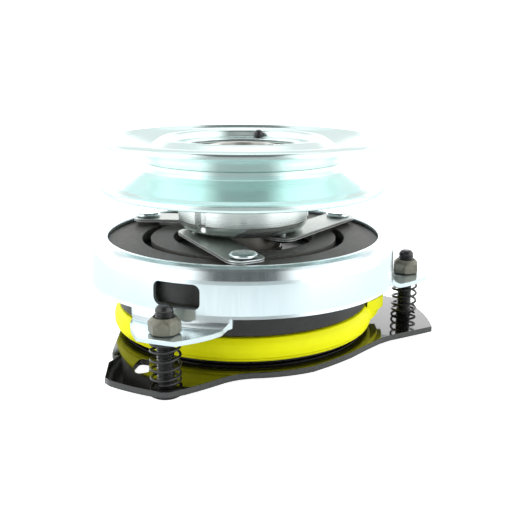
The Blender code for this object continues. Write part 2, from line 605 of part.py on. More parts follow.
# ------------------------------------------------------------ leaf springs
def build_leaf_pair(n, outer, inner):
    """Two stacked leaves from an armature rivet to a rivet in the bearing housing."""
    outer, inner = Vector(outer), Vector(inner)
    along = (outer - inner).normalized()
    side = Vector((-along.y, along.x)) * LEAF_HALF_W
    outer_end = outer + along * LEAF_OUT_END
    inner_end = inner - along * LEAF_IN_END
    edge = round_corners([outer_end + side, inner_end + side, inner_end - side, outer_end - side],
                         LEAF_CORNER_RADII, 2)
    loops = [edge, circle(LEAF_OUT_HOLE_R, outer, SEGS_RIVET),
             circle(LEAF_IN_HOLE_R, inner, SEGS_RIVET)]
    for place, z in LEAF_HEIGHTS:
        leaf = outline("leaf_spring_%s_%d" % (place, n), loops, z, z + LEAF_T, SPRING_STEEL)
        boolean(leaf, cylinder("cut_hub_clearance_%s_%d" % (place, n), LEAF_HUB_CLEARANCE_R,
                               z - 2.0, z + 3.0, segments=SEGS_CLEARANCE))


def build_leaf_springs():
    for n, (outer, inner) in enumerate(zip(OUTER_RIVETS, INNER_RIVETS), 1):
        build_leaf_pair(n, outer, inner)
        lathe("leaf_rivet_%d" % n, [
            (0.0, 58.6), (2.9, 58.6), (2.9, 57.4), (2.3, 57.4), (2.3, 52.3), (4.6, 52.3),
            (4.2, 50.6), (0.0, 50.6),
        ], SEGS_RIVET, ZINC, at=inner, solid=True)


# ------------------------------------------------------------ pulley
def build_pulley_flanges():
    upper = lathe("pulley_upper_flange", [
        (30.3, 98.2), (38.4, 98.2), (39.6, 102.0), (41.2, 102.5), (43.0, 101.8),
        (53.6, 94.9), (68.2, 100.8), (70.2, 102.9), (PULLEY_TOP_R, 102.6),
        (PULLEY_TOP_R, 99.9), (69.4, 98.5), (52.4, 91.5), (50.8, 92.0),
        (51.2, 94.0), (42.2, 99.9), (40.6, 96.2), (30.3, 96.2),
    ], SEGS_LARGE, ZINC)
    boolean(upper, disc_cutters("cut_upper_holes", TOP_RIVET_HOLE_R, 94.0, 98.4,
                                TOP_RIVETS, SEGS_TINY))
    lathe("pulley_lower_flange", [
        (34.8, 91.1), (50.2, 91.1), (51.6, 90.5), (52.2, 89.2), (52.5, 87.6), (54.2, 86.4),
        (69.4, 80.5), (71.4, 79.0), (PULLEY_LOW_R, 78.4), (PULLEY_LOW_R, 76.1), (70.8, 76.1),
        (68.4, 78.2), (53.2, 84.2), (50.4, 86.4), (50.1, 88.4), (49.4, 89.0), (34.8, 89.0),
    ], SEGS_LARGE, ZINC)
    for n, at in enumerate(TOP_RIVETS, 1):
        lathe("pulley_rivet_%d" % n, [
            (0.0, 102.7), (1.9, 102.0), (2.9, 99.9), (2.9, 98.55), (1.4, 98.55), (1.4, 94.6),
            (0.0, 94.6),
        ], SEGS_SMALL, BLACK_STEEL, at=at, solid=True)


def build_bearing_housing():
    housing = lathe("bearing_housing", [
        (SEAT_R, 95.9), (40.2, 95.9), (40.2, 93.9), (HOUSING_R, 93.7), (HOUSING_R, 63.5),
        (33.6, 60.4), (31.6, 57.4), (28.6, 54.9), (20.6, 54.7), (20.6, 56.8), (28.7, 56.9),
        (SEAT_R, 59.2),
    ], SEGS_MEDIUM, BARE)
    boolean(housing, disc_cutters("cut_housing_top_holes", TOP_RIVET_HOLE_R, 94.2, 97.0,
                                  TOP_RIVETS, SEGS_TINY))
    boolean(housing, disc_cutters("cut_housing_leaf_holes", LEAF_IN_HOLE_R, 50.0, 57.6,
                                  INNER_RIVETS, SEGS_RIVET))


def shade_parts():
    """Smooth shading with sharp edges, for every piece that isn't a bare profile."""
    for ob in PARTS.objects:
        if ob.data.polygons:
            ob.data.shade_smooth()
            ob.data.set_sharp_from_angle(angle=math.radians(35))


build_mounting_plate()
build_field()
build_field_cover()
build_connector()
build_brake_fasteners()
build_brake_shell()
build_rotor()
build_hub()
build_bearings()
build_armature()
build_leaf_springs()
build_pulley_flanges()
build_bearing_housing()
shade_parts()
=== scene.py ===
"""Looks for the electromagnetic clutch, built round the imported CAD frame.

The clutch stands on its mounting plate with its axis vertical at x = y = 0 and the
pulley uppermost; the camera stands on the -Y side. Lengths in the shape code are
millimetres. Heights are counted from the mounting plate's underside, and height()
turns them into the frame's metres. Angles are degrees, anticlockwise from +X.
"""

import json
import math

import bmesh
import bpy
from mathutils import Matrix, Vector


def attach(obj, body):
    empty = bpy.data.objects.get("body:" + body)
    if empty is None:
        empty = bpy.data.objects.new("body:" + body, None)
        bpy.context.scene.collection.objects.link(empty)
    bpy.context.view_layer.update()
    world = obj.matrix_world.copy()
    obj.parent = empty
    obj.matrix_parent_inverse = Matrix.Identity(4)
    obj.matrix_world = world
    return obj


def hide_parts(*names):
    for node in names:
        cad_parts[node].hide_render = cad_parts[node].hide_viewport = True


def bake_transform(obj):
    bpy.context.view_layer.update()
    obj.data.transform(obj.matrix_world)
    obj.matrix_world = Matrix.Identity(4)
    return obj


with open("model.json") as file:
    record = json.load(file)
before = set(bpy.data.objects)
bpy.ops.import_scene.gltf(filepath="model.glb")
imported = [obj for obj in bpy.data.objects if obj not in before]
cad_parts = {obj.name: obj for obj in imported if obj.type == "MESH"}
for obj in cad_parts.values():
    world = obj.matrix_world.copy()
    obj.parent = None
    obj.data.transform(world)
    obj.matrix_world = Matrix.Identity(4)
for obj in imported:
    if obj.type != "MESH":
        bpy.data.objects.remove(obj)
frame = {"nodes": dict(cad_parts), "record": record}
NODES = frame["nodes"]
BODY_OF = {node: body for body, nodes in frame["record"]["behaviour"]["bodies"].items()
           for node in nodes}
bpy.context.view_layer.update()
scene = bpy.context.scene

MM = 0.001
FRAME_ORIGIN = 37.8     # height of the frame's origin above the plate's underside
SEGMENTS = 192    # round the large pieces
CORE_SEGMENTS = 96                      # round the pieces near the axis


def height(z):
    return (z - FRAME_ORIGIN) * MM


def place(x, y, z):
    return x * MM, y * MM, height(z)


def polar(radius, degrees):
    angle = math.radians(degrees)
    return radius * math.cos(angle), radius * math.sin(angle)


def thirds(first):
    """Three angles a third of a turn apart."""
    return [(first + 120.0 * k) % 360.0 for k in range(3)]


# ======================================================= shared dimensions
PLATE_THICKNESS = 3.0
STUD_ANGLES = thirds(248.0)
STUDS = [polar(91.2, angle) for angle in STUD_ANGLES]
STUD_FOOT = -2.7        # underside of the stud heads, where the floor lies
HEX_FLATS = 13.0        # across the flats of stud heads and lock nuts
LEAF_ANGLES = thirds(270.0)
ARMATURE_RIVETS = [polar(62.0, angle) for angle in LEAF_ANGLES]
LEAF_RIVETS = [polar(26.0, angle - 71.0) for angle in LEAF_ANGLES]
RIVET_HOLE = 3.5        # radius, in the armature and the leaves' outer ends
BEARING_BORE, BEARING_OUTSIDE, BEARING_WIDTH = 17.75, 31.0, 14.0    # radii, then height


# ================================================================ node trees
class Tree:
    """Short names for building a node tree with one surface output."""

    def __init__(self, node_tree, output_kind):
        self.node_tree = node_tree
        node_tree.nodes.clear()
        self.surface = self.new(output_kind).inputs["Surface"]

    def new(self, kind, **settings):
        node = self.node_tree.nodes.new(kind)
        for name, value in settings.items():
            setattr(node, name, value)
        return node

    def put(self, socket, value):
        """Links a socket to another, or gives it a value."""
        if isinstance(value, bpy.types.NodeSocket):
            self.node_tree.links.new(value, socket)
        else:
            socket.default_value = value

    def math(self, operation, first, second=0.0, clamp=False):
        node = self.new("ShaderNodeMath", operation=operation, use_clamp=clamp)
        for socket, value in zip(node.inputs, (first, second, 0.0)):
            self.put(socket, value)
        return node.outputs[0]

    def times(self, first, second, clamp=False):
        return self.math("MULTIPLY", first, second, clamp)

    def plus(self, first, second):
        return self.math("ADD", first, second)

    def length(self, x, y):
        return self.math("SQRT", self.plus(self.times(x, x), self.times(y, y)))

    def ramp(self, value, over, to=(0.0, 1.0), kind="SMOOTHSTEP"):
        """Goes between the two 'to' values as value crosses the span 'over'."""
        node = self.new("ShaderNodeMapRange", interpolation_type=kind)
        self.put(node.inputs["Value"], value)
        for name, number in zip(("From Min", "From Max", "To Min", "To Max"), (*over, *to)):
            node.inputs[name].default_value = number
        return node.outputs["Result"]

    def noise(self, vector, scale, detail=3.0, rough=0.55):
        node = self.new("ShaderNodeTexNoise")
        self.put(node.inputs["Vector"], vector)
        node.inputs["Scale"].default_value = scale
        node.inputs["Detail"].default_value = detail
        node.inputs["Roughness"].default_value = rough
        return node.outputs["Fac"]

    def mix(self, factor, first, second):
        node = self.new("ShaderNodeMix", data_type="RGBA")
        self.put(node.inputs["Factor"], factor)
        for socket, colour in zip(node.inputs[6:8], (first, second)):
            linked = isinstance(colour, bpy.types.NodeSocket)
            self.put(socket, colour if linked else (*colour, 1.0))
        return node.outputs[2]

    def overlay(self, colour, mask, amount, top):
        """The colour with another laid over it where the mask is high."""
        return self.mix(self.times(mask, amount, clamp=True), colour, top)

    def coordinates(self, kind="Object"):
        return self.new("ShaderNodeTexCoord").outputs[kind]

    def split(self, vector):
        node = self.new("ShaderNodeSeparateXYZ")
        self.put(node.inputs[0], vector)
        return list(node.outputs)

    def combine(self, *parts):
        node = self.new("ShaderNodeCombineXYZ")
        for socket, part in zip(node.inputs, parts):
            self.put(socket, part)
        return node.outputs[0]

    def degrees_from_front(self, part, y):
        """Angle from the -Y direction towards the axis that part is measured on."""
        angle = self.math("ARCTAN2", part, self.times(y, -1.0))
        return self.times(angle, 180.0 / math.pi)


def new_material(key):
    material = bpy.data.materials.new("look_" + key)
    material["key"] = key
    material.use_nodes = True
    tree = Tree(material.node_tree, "ShaderNodeOutputMaterial")
    shader = tree.new("ShaderNodeBsdfPrincipled")
    tree.put(tree.surface, shader.outputs[0])
    return material, tree, shader


def add_bump(tree, shader, relief, strength):
    node = tree.new("ShaderNodeBump")
    node.inputs["Strength"].default_value = strength
    node.inputs["Distance"].default_value = 0.0002
    tree.put(node.inputs["Height"], relief)
    tree.put(shader.inputs["Normal"], node.outputs[0])


def streak_noise(tree, position, streaks):
    """Fine noise: 'ring' runs round the axis, 'draw' along it, 'flat' has no direction."""
    if streaks == "flat":
        return tree.noise(position, scale=900.0, detail=5.0, rough=0.65)
    x, y, z = [tree.times(part, 1000.0) for part in tree.split(position)]
    radius = tree.length(x, y)
    if streaks == "ring":
        stretched = tree.combine(tree.times(radius, 1.0), tree.times(z, 1.0), 0.0)
        return tree.noise(stretched, scale=1.6, detail=4.0, rough=0.7)
    safe_radius = tree.math("MAXIMUM", radius, 0.01)
    cosine, sine = [tree.math("DIVIDE", part, safe_radius) for part in (x, y)]
    # dense round the axis, drawn out along it
    stretched = tree.combine(
        tree.times(cosine, 42.0), tree.times(sine, 42.0), tree.times(z, 0.035))
    return tree.noise(stretched, scale=1.3, detail=5.0, rough=0.7)


def plated(key, light, tint, streaks, rough, metallic=1.0, amount=0.5, bump_by=0.05,
           stain=0.0, painted_edge_highlight=0.0):
    """Streaked metal. amount: how far the streaks take the tint; stain: strength of dark
    spots; the last: strength of a painted highlight that makes the upright faces near white."""
    material, tree, shader = new_material(key)
    position = tree.coordinates()
    fine = streak_noise(tree, position, streaks)
    broad = tree.noise(position, scale=26.0, detail=2.0, rough=0.5)
    colour = tree.mix(tree.ramp(broad, over=(0.32, 0.68)), light, tint)
    colour = tree.overlay(colour, tree.ramp(fine, over=(0.25, 0.75)), amount, tint)
    if stain > 0.0:
        blots = tree.noise(position, scale=160.0, detail=6.0, rough=0.7)
        spots = tree.ramp(blots, over=(0.60, 0.74))
        colour = tree.overlay(colour, spots, stain, (0.13, 0.11, 0.09))
    # painted highlight: upright faces, such as a leaf's thin edges, laid over with near white
    if painted_edge_highlight > 0.0:
        normal = tree.new("ShaderNodeNewGeometry").outputs["True Normal"]
        upright = tree.ramp(tree.math("ABSOLUTE", tree.split(normal)[2]), over=(0.75, 0.35))
        colour = tree.overlay(colour, upright, painted_edge_highlight, (0.96, 0.98, 0.97))
    tree.put(shader.inputs["Base Color"], colour)
    shader.inputs["Metallic"].default_value = metallic
    tree.put(shader.inputs["Roughness"],
             tree.ramp(fine, over=(0.2, 0.8), to=(rough * 0.8, rough * 1.25)))
    add_bump(tree, shader, fine, bump_by)
    return material


def dull(key, colour, dark, rough, specular=0.5, metallic=0.0, scale=420.0, bump_by=0.25,
         speck=0.0):
    """A grained surface. scale: of the grain; speck: strength of pale specks."""
    material, tree, shader = new_material(key)
    position = tree.coordinates()
    grain = tree.noise(position, scale=scale, detail=5.0, rough=0.7)
    broad = tree.noise(position, scale=34.0, detail=3.0, rough=0.55)
    blend = tree.plus(tree.times(grain, 0.6), tree.times(broad, 0.4))
    base = tree.mix(tree.ramp(blend, over=(0.34, 0.66)), dark, colour)
    if speck > 0.0:
        blots = tree.noise(position, scale=480.0, detail=4.0, rough=0.7)
        spots = tree.ramp(blots, over=(0.60, 0.72))
        base = tree.overlay(base, spots, speck, (0.30, 0.30, 0.28))
    tree.put(shader.inputs["Base Color"], base)
    shader.inputs["Metallic"].default_value = metallic
    tree.put(shader.inputs["Roughness"],
             tree.ramp(grain, over=(0.3, 0.7), to=(rough * 0.88, min(1.0, rough * 1.12))))
    shader.inputs["Specular IOR Level"].default_value = specular
    add_bump(tree, shader, grain, bump_by)
    return material


def black_paint():
    """Glossy black on the mounting plate's faces, greyer and mottled on its edge."""
    material, tree, shader = new_material("black_paint")
    position = tree.coordinates()
    grain = tree.noise(position, scale=260.0, detail=3.0, rough=0.6)
    z = tree.times(tree.split(position)[2], 1000.0)
    from_middle = tree.math("ABSOLUTE", tree.plus(z, FRAME_ORIGIN - PLATE_THICKNESS / 2))
    face = tree.ramp(from_middle, over=(0.8, 1.2))
    mottle = tree.noise(position, scale=700.0, detail=4.0, rough=0.7)
    edge = tree.mix(mottle, (0.020, 0.021, 0.020), (0.060, 0.062, 0.058))
    tree.put(shader.inputs["Base Color"], tree.mix(face, edge, (0.005, 0.005, 0.0045)))
    tree.put(shader.inputs["Roughness"], tree.ramp(grain, over=(0.3, 0.7), to=(0.05, 0.10)))
    shader.inputs["Specular IOR Level"].default_value = 0.5
    shader.inputs["IOR"].default_value = 1.7
    shader.inputs["Coat Weight"].default_value = 0.25
    shader.inputs["Coat Roughness"].default_value = 0.05
    add_bump(tree, shader, grain, strength=0.02)
    return material


PULLEY_ZINC = plated(
    "pulley_zinc", light=(0.82, 0.95, 0.93), tint=(0.75, 0.92, 0.90), streaks="ring",
    rough=0.17, metallic=0.86, amount=0.45, bump_by=0.03)
SHELL_ZINC = plated(
    "shell_zinc", light=(0.83, 0.92, 0.94), tint=(0.76, 0.87, 0.90), streaks="draw",
    rough=0.19, metallic=0.90, amount=0.55, bump_by=0.008)
RIVET_ZINC = plated(
    "rivet_zinc", light=(0.84, 0.90, 0.90), tint=(0.74, 0.82, 0.83), streaks="flat",
    rough=0.13, amount=0.3, bump_by=0.01)
BARE_STEEL = plated(
    "bare_steel", light=(0.84, 0.89, 0.86), tint=(0.76, 0.81, 0.78), streaks="ring",
    rough=0.24, metallic=0.84, amount=0.25, bump_by=0.0)
HUB_STEEL = plated(
    "hub_steel", light=(0.46, 0.45, 0.42), tint=(0.33, 0.32, 0.29), streaks="ring",
    rough=0.34, amount=0.6, bump_by=0.08)
# the leaves carry a painted highlight on their upright edge faces
LEAF_STEEL = plated(
    "leaf_steel", light=(0.44, 0.48, 0.45), tint=(0.33, 0.36, 0.34), streaks="flat",
    rough=0.34, bump_by=0.08, stain=0.20, painted_edge_highlight=0.85)
BEARING_STEEL = plated(
    "bearing_steel", light=(0.66, 0.66, 0.64), tint=(0.50, 0.50, 0.48), streaks="ring",
    rough=0.18)
BRASS = plated(
    "brass", light=(0.80, 0.62, 0.26), tint=(0.64, 0.46, 0.18), streaks="flat", rough=0.28)
COPPER = plated(
    "copper", light=(0.78, 0.36, 0.18), tint=(0.60, 0.24, 0.10), streaks="ring", rough=0.30)
ARMATURE_STEEL = dull(
    "armature_steel", colour=(0.094, 0.093, 0.083), dark=(0.062, 0.060, 0.053),
    rough=0.52, specular=0.40, scale=500.0, speck=0.7)
ROTOR_STEEL = dull(
    "rotor_steel", colour=(0.034, 0.035, 0.034), dark=(0.022, 0.023, 0.022),
    rough=0.34, specular=0.45, scale=260.0, bump_by=0.10)
BLACK_STEEL = dull(
    "black_oxide", colour=(0.020, 0.020, 0.020), dark=(0.010, 0.010, 0.010),
    rough=0.30, specular=0.7, scale=500.0, bump_by=0.10)
PHOSPHATE = dull(
    "phosphate", colour=(0.25, 0.245, 0.195), dark=(0.16, 0.155, 0.125),
    rough=0.44, metallic=0.55, scale=900.0, bump_by=0.20)
RUBBER = dull(
    "seal_rubber", colour=(0.030, 0.026, 0.022), dark=(0.012, 0.011, 0.010),
    rough=0.45, scale=600.0)
RESIN = dull("potting_resin", colour=(0.05, 0.05, 0.05), dark=(0.03, 0.03, 0.03), rough=0.40)
NYLON = dull("nylon", colour=(0.74, 0.71, 0.60), dark=(0.66, 0.63, 0.52), rough=0.50)
LINING = dull(
    "friction_lining", colour=(0.17, 0.14, 0.11), dark=(0.09, 0.075, 0.06),
    rough=0.85, specular=0.3, speck=0.4)
YELLOW = dull(
    "yellow_cover", colour=(0.98, 0.98, 0.004), dark=(0.96, 0.95, 0.003),
    rough=0.46, specular=0.14, scale=300.0, bump_by=0.06)
BLACK_PAINT = black_paint()


# ============================================================== mesh helpers
def finish(node, mesh, material, sharp=32.0, flats=False, bends=False, name=None):
    """Makes the piece that stands in for a CAD node.

    It rides on the node's body unless it bends between two. sharp: smallest angle of
    a hard edge; flats: shade the large faces flat."""
    name = name or "look_" + node
    bmesh.ops.remove_doubles(mesh, verts=mesh.verts, dist=0.000002)
    bmesh.ops.recalc_face_normals(mesh, faces=mesh.faces)
    piece = new_object(mesh, name)
    piece.data.materials.append(material)
    piece.data.shade_smooth()
    piece.data.set_sharp_from_angle(angle=math.radians(sharp))
    if flats:
        normals = piece.modifiers.new("flat_faces_stay_flat", "WEIGHTED_NORMAL")
        normals.mode = "FACE_AREA"
        normals.weight = 80
        normals.keep_sharp = True
    if not bends:
        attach(piece, BODY_OF[node])
    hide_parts(node)
    return piece


def new_object(mesh, name):
    data = bpy.data.meshes.new(name)
    mesh.to_mesh(data)
    mesh.free()
    made = bpy.data.objects.new(name, data)
    scene.collection.objects.link(made)
    return made


def evaluated_mesh(source):
    """An object's shape after its modifiers, as a bmesh."""
    bpy.context.view_layer.update()
    graph = bpy.context.evaluated_depsgraph_get()
    data = bpy.data.meshes.new_from_object(source.evaluated_get(graph))
    data.transform(source.matrix_world)
    mesh = bmesh.new()
    mesh.from_mesh(data)
    bpy.data.meshes.remove(data)
    return mesh


def cut(mesh, tools, operation="DIFFERENCE"):
    """The mesh with closed tools taken away, or joined on."""
    body = new_object(mesh, "tmp")
    others = [new_object(tool, "tmp_cut") for tool in tools]
    for other in others:
        step = body.modifiers.new("cut", "BOOLEAN")
        step.operation = operation
        step.solver = "EXACT"
        step.object = other
    result = evaluated_mesh(body)
    for spent in [body] + others:
        bpy.data.objects.remove(spent, do_unlink=True)
    return result


def rectangle(x_low, x_high, y_low, y_high):
    """Four corners; as a profile, the section of a plain ring."""
    return [(x_low, y_low), (x_high, y_low), (x_high, y_high), (x_low, y_high)]


def soften(corners, rounding=None, steps=5):
    """An outline with its corners rounded: all alike, or by each corner's third number."""
    points = [Vector(corner[:2]) for corner in corners]
    result = []
    for i, point in enumerate(points):
        radius = corners[i][2] if rounding is None else rounding
        if radius <= 0:
            result.append(tuple(point))
            continue
        before = points[i - 1] - point
        after = points[(i + 1) % len(points)] - point
        length_before, length_after = before.length, after.length
        before.normalize()
        after.normalize()
        angle = math.acos(max(-1.0, min(1.0, before.dot(after))))
        if angle > math.radians(178.5) or angle < math.radians(1.0):
            result.append(tuple(point))
            continue
        # neighbouring roundings must not meet
        setback = min(radius / math.tan(angle / 2), 0.46 * length_before, 0.46 * length_after)
        fitted = setback * math.tan(angle / 2)
        centre = point + (before + after).normalized() * (fitted / math.sin(angle / 2))
        first = point + before * setback - centre
        last = point + after * setback - centre
        start, end = math.atan2(first.y, first.x), math.atan2(last.y, last.x)
        sweep = (end - start + math.pi) % (2 * math.pi) - math.pi
        count = max(2, int(steps * abs(sweep) / math.radians(90)) + 1)
        for k in range(count + 1):
            turn = start + sweep * k / count
            result.append((centre.x + fitted * math.cos(turn),
                           centre.y + fitted * math.sin(turn)))
    return result


def add_ring(mesh, segments, shape, centre=(0.0, 0.0)):
    """Vertices round a vertical axis; shape(degrees) gives radius and height."""
    ring = []
    for k in range(segments):
        degrees = 360.0 * k / segments
        radius, z = shape(degrees)
        x, y = polar(radius, degrees)
        ring.append(mesh.verts.new(place(centre[0] + x, centre[1] + y, z)))
    return ring


def skin(mesh, rings, closed=False):
    """Faces between successive rings; a ring of one vertex is a point on the axis."""
    for ring, following in zip(rings, rings[1:] + (rings[:1] if closed else [])):
        count = max(len(ring), len(following))
        for k in range(count):
            after = (k + 1) % count
            if len(ring) == 1:
                mesh.faces.new((ring[0], following[k], following[after]))
            elif len(following) == 1:
                mesh.faces.new((ring[k], following[0], ring[after]))
            else:
                mesh.faces.new((ring[k], following[k], following[after], ring[after]))


def cap_ends(mesh, rings):
    mesh.faces.new(rings[0])
    mesh.faces.new(rings[-1])


def turned(profile, segments, centre=(0.0, 0.0), press=None):
    """A profile of (radius, height) swept round a vertical axis.

    One that starts on the axis is left open there. press(radius, height, degrees)
    may change a point's radius."""
    mesh = bmesh.new()
    rings = []
    for radius, z in profile:
        if radius < 1e-6:
            rings.append([mesh.verts.new(place(*centre, z))])
        elif press:
            rings.append(add_ring(
                mesh, segments, lambda degrees: (press(radius, z, degrees), z), centre))
        else:
            rings.append(add_ring(mesh, segments, constant(radius, z), centre))
    skin(mesh, rings, closed=profile[0][0] > 0.0)
    return mesh


def constant(radius, z):
    return lambda degrees: (radius, z)


def revolve(node, corners, material, rounding=None, segments=SEGMENTS, centre=(0.0, 0.0),
            steps=5, sharp=32.0, press=None):
    mesh = turned(soften(corners, rounding, steps), segments, centre, press)
    finish(node, mesh, material, sharp)


def plug(radius, bottom, top, segments, centre=(0.0, 0.0)):
    """A solid cylinder."""
    profile = [(0.0, bottom), (radius, bottom), (radius, top), (0.0, top)]
    return turned(profile, segments, centre)


def prism(first, second):
    """A solid between two matching outlines of (x, y, z)."""
    mesh = bmesh.new()
    near = [mesh.verts.new(place(*point)) for point in first]
    far = [mesh.verts.new(place(*point)) for point in second]
    mesh.faces.new(list(reversed(near)))
    mesh.faces.new(far)
    for i in range(len(near)):
        j = (i + 1) % len(near)
        mesh.faces.new((near[i], near[j], far[j], far[i]))
    return mesh


def flat_plate(outlines, bottom, top, bevel):
    """A plate with rounded edges; the first outline is the outside, the rest are holes."""
    curve = bpy.data.curves.new("tmp_curve", "CURVE")
    curve.dimensions = "2D"
    curve.fill_mode = "BOTH"
    curve.extrude = (abs(top - bottom) / 2 - bevel) * MM
    curve.bevel_depth = bevel * MM
    curve.bevel_resolution = 2
    curve.offset = -bevel * MM
    for outline in outlines:
        spline = curve.splines.new("POLY")
        spline.points.add(len(outline) - 1)
        for point, (x, y) in zip(spline.points, outline):
            point.co = (x * MM, y * MM, 0.0, 1.0)
        spline.use_cyclic_u = True
    plate = bpy.data.objects.new("tmp_plate", curve)
    plate.location = (0.0, 0.0, height((bottom + top) / 2))
    scene.collection.objects.link(plate)
    mesh = evaluated_mesh(plate)
    bpy.data.objects.remove(plate, do_unlink=True)
    bpy.data.curves.remove(curve)
    bmesh.ops.remove_doubles(mesh, verts=mesh.verts, dist=0.000002)
    return mesh


def arc(radius, start, end, steps):
    return [polar(radius, start + (end - start) * k / steps) for k in range(steps + 1)]


def circle(radius, centre=(0.0, 0.0), segments=48):
    turns = [2 * math.pi * k / segments for k in range(segments)]
    return [(centre[0] + radius * math.cos(turn), centre[1] + radius * math.sin(turn))
            for turn in turns]


def local(angle, across, outward):
    """The point a distance outward along an angle, and anticlockwise across it."""
    cosine, sine = math.cos(math.radians(angle)), math.sin(math.radians(angle))
    return outward * cosine - across * sine, outward * sine + across * cosine


def smooth_step(value, start, end):
    part = max(0.0, min(1.0, (value - start) / (end - start)))
    return part * part * (3 - 2 * part)


# ============================================================ mounting plate
PLATE_RADIUS = 101.5    # outer edge at the three stud lobes
# x, y anticlockwise from the lobe of the first stud
PLATE_OUTLINE = (
    [(-62.2, -79.0)]
    + arc(PLATE_RADIUS, 234.0, 249.5, 10)
    + [(-32.0, -95.0), (-28.8, -93.6), (-25.4, -91.9), (-20.0, -88.3), (-14.9, -84.6),
       (-8.0, -79.2), (-4.6, -77.2), (-1.6, -75.9)]
    + arc(74.6, 273.0, 296.0, 12)
    + [(37.4, -63.4), (41.0, -60.6), (46.9, -55.4), (52.5, -50.2), (61.6, -39.8),
       (69.9, -31.0), (75.6, -26.4), (81.6, -23.2)]
    + arc(PLATE_RADIUS, 352.7, 380.5, 18)
    + [(83.0, 44.0), (62.0, 51.5)]
    + arc(75.0, 46.0, 84.0, 14)
    + [(-8.0, 79.5), (-30.0, 93.0)]
    + arc(PLATE_RADIUS, 113.0, 135.0, 12)
    + [(-77.0, 60.0), (-70.5, 38.0), (-66.0, 14.0), (-64.6, -18.1), (-64.1, -44.0),
       (-63.7, -49.3), (-62.6, -51.6), (-60.2, -53.2), (-61.6, -57.4), (-63.5, -60.5)]
)
# x, y, rounding of the five-sided hole beside the first stud
D_HOLE = [(-51.2, -66.0, 2.2), (-49.2, -57.0, 1.8), (-44.6, -58.5, 1.8),
          (-43.2, -72.8, 1.8), (-48.6, -75.0, 2.2)]
plate_outlines = [PLATE_OUTLINE, circle(23.0, segments=64)]
plate_outlines += [circle(4.5, centre, 32) for centre in STUDS]
plate_outlines += [soften(D_HOLE, steps=6)]
plate_outlines += [circle(3.4, polar(47.0, angle), 32) for angle in thirds(300.0)]
finish("mounting_plate", flat_plate(plate_outlines, 0.0, PLATE_THICKNESS, bevel=0.28),
       BLACK_PAINT, sharp=40.0, flats=True)

# ===================================================================== field
# radius, height: a channel open at the top
revolve("field_shell", [
    (28.4, 3.3), (65.0, 3.3), (65.0, 5.0), (61.2, 5.0), (61.2, 36.9), (58.0, 36.9),
    (58.0, 8.6), (37.2, 8.6), (37.2, 36.9), (31.3, 36.9), (31.3, 8.0), (28.4, 8.0),
], BLACK_STEEL, rounding=0.4, steps=2)

# bulged, with a shallow seam near its foot: radius, height, rounding
COVER_PROFILE = [
    (61.6, 5.3, 0.3), (67.3, 5.3, 0.8), (68.2, 6.2, 0.15), (68.05, 6.6, 0.15),
    (68.8, 7.4, 3.0), (69.0, 10.6, 6.0), (68.0, 14.0, 5.0), (66.3, 16.4, 1.0),
    (61.6, 16.4, 0.4)]
# x, y of the connector boss on the +X side, and of the foot below it
BOSS_OUTLINE = arc(67.2, 6.7, -16.0, 12) + [
    (70.4, -12.6), (73.2, -8.0), (75.0, -4.8), (75.9, -1.4), (76.5, 2.0), (77.0, 7.0),
    (76.2, 8.0)]
FOOT_OUTLINE = [
    (63.5, -24.0), (68.4, -14.5), (70.4, -10.4), (71.9, -6.5), (73.3, -2.0), (73.6, 7.5),
    (64.5, 7.5)]


def cover_ring():
    cover = turned(soften(COVER_PROFILE, steps=8), SEGMENTS)
    boss = flat_plate([BOSS_OUTLINE], 11.5, 18.5, bevel=0.5)
    foot = flat_plate([FOOT_OUTLINE], 8.3, 12.0, bevel=0.5)
    cover = cut(cover, [boss, foot], "UNION")
    socket = flat_plate([rectangle(68.6, 73.6, -1.0, 11.0)], 10.2, 16.9, bevel=0.2)
    finish("field_cover_ring", cut(cover, [socket]), YELLOW, sharp=38.0, flats=True)


cover_ring()


# ============================================== studs, springs and lock nuts
def hex_radius(degrees, turn):
    """Radius of a hexagon at an angle; turn points at the middle of a flat."""
    from_flat = (degrees - turn + 30.0) % 60.0 - 30.0
    return HEX_FLATS / 2 / math.cos(math.radians(from_flat))


THREAD_PITCH = 1.25
THREAD_START, THREAD_END = 4.6, 36.4
THREAD_ROWS = 10        # rows of vertices per pitch
THREAD_DEPTH = 0.55
CREST = 3.98            # radius over the thread
HEAD_CHAMFER = 6.35     # radius where the head's chamfer starts
# radius, height up the plain end
STUD_POINT = [(CREST, 36.55), (4.0, 36.75), (3.93, 37.05), (3.75, 37.45), (3.45, 37.9),
              (3.05, 38.35), (2.6, 38.7), (2.15, 38.9), (1.7, 38.95), (0.9, 38.95)]


def thread_row(z):
    """The thread's section at one height, a little fuller near its top."""
    fade = smooth_step(z, THREAD_START, 6.0) * (1 - smooth_step(z, 36.0, 36.5))
    fuller = 0.2 * smooth_step(z, 33.4, 34.2) * (1.0 - smooth_step(z, 35.8, 36.5))

    def shape(degrees):
        phase = (z / THREAD_PITCH - degrees / 360.0) % 1.0
        from_root = abs(phase - 0.5) * 2.0
        depth = max(0.0, min(1.0, (from_root - 0.10) / 0.75))
        return CREST + fuller - THREAD_DEPTH * fade * depth, z
    return shape


